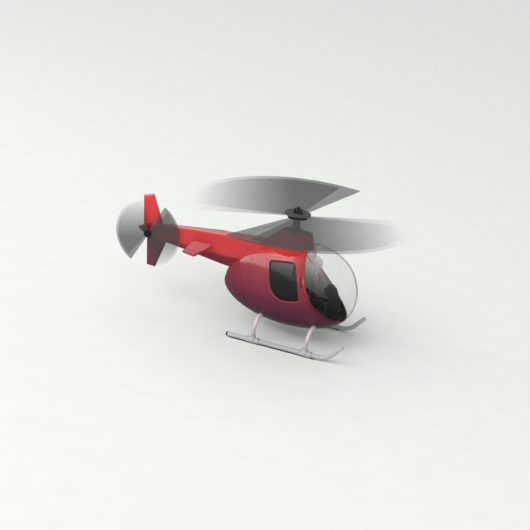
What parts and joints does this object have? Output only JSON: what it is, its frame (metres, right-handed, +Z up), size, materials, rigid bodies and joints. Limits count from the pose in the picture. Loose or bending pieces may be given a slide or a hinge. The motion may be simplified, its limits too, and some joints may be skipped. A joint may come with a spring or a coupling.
{
  "type": "helicopter scale model",
  "caption": "Desktop scale model of a light helicopter: egg cabin with clear nose bubble, tapered tail boom, skids, see-through fan rotors and opening side doors.",
  "frame": {"origin": "on the resting plane under the skids, in the middle of the whole model's bounding box; the main rotor axis is 54.5 mm ahead of it", "axes": "+X towards the nose, +Y towards the model's left side, +Z up along the main mast"},
  "size_m": [0.4075, 0.3, 0.182],
  "materials": {
    "red_paint": "gloss red fading to plum on the underside",
    "dark_red_paint": "gloss dark red",
    "clear_plastic": "clear moulded canopy",
    "tinted_plastic": "dark smoke tint",
    "rubber": "matt black",
    "blade_grey": "satin mid grey",
    "fan_film": "smoke tint that fades to clear towards the trailing edge",
    "black_metal": "satin black",
    "skid_alloy": "satin grey",
    "tube_alloy": "satin grey with a warm cast",
    "interior_black": "matt black",
    "seat_grey": "matt grey"
  },
  "bodies": {
    "airframe": {"cabin_shell_right": "red_paint", "cabin_shell_left": "red_paint", "engine_cowl": "red_paint", "windshield_frame": "red_paint", "windshield_bubble": "clear_plastic", "mast_fairing": "red_paint", "mast_bush": "black_metal", "tail_boom": "red_paint", "tail_cone": "dark_red_paint", "upper_fin": "red_paint", "lower_fin": "red_paint", "stabiliser_right": "red_paint", "stabiliser_left": "red_paint", "skid_tube_right": "skid_alloy", "skid_tube_left": "skid_alloy", "skid_shoe_right": "rubber", "skid_shoe_left": "rubber", "skid_end_cap_right": "rubber", "skid_end_cap_left": "rubber", "skid_saddle_front_right": "skid_alloy", "skid_saddle_front_left": "skid_alloy", "skid_saddle_rear_right": "skid_alloy", "skid_saddle_rear_left": "skid_alloy", "cross_tube_front": "tube_alloy", "cross_tube_rear": "tube_alloy", "cabin_floor": "interior_black", "rear_bulkhead": "interior_black", "seat_right": "seat_grey", "seat_left": "seat_grey", "instrument_console": "interior_black", "cyclic_stick": "interior_black", "door_hinge_pin_right": "black_metal", "door_hinge_pin_left": "black_metal"},
    "main_rotor": {"mast_shaft": "black_metal", "mast_stop_collar": "black_metal", "hub_disc": "black_metal", "hub_clamp_plate": "black_metal", "hub_stud_front": "black_metal", "hub_stud_rear": "black_metal", "main_blade_a": "blade_grey", "main_blade_b": "blade_grey", "main_vane_a": "fan_film", "main_vane_b": "fan_film"},
    "tail_rotor": {"tail_rotor_shaft": "black_metal", "tail_hub_outer": "black_metal", "tail_hub_inner": "black_metal", "tail_shaft_clip": "black_metal", "tail_blade_a": "blade_grey", "tail_blade_b": "blade_grey", "tail_vane_a": "fan_film", "tail_vane_b": "fan_film"},
    "right_door": {"door_right": "red_paint", "door_window_right": "tinted_plastic", "door_window_seal_right": "rubber"},
    "left_door": {"door_left": "red_paint", "door_window_left": "tinted_plastic", "door_window_seal_left": "rubber"}
  },
  "joints": [
    {"name": "main_rotor_spin", "type": "hinge", "parent": "airframe", "child": "main_rotor", "pos_m": [0.0545, 0, 0.16], "axis": [0, 0, 1], "continuous": true},
    {"name": "tail_rotor_spin", "type": "hinge", "parent": "airframe", "child": "tail_rotor", "pos_m": [-0.1545, 0, 0.0987], "axis": [0, 1, 0], "continuous": true},
    {"name": "right_door_hinge", "type": "hinge", "parent": "airframe", "child": "right_door", "pos_m": [0.0806, -0.03638, 0.09363], "axis": [-0.3411, 0.4341, 0.8338], "range_deg": [0, 70]},
    {"name": "left_door_hinge", "type": "hinge", "parent": "airframe", "child": "left_door", "pos_m": [0.0806, 0.03638, 0.09363], "axis": [0.3411, 0.4341, -0.8338], "range_deg": [0, 70]}
  ]
}
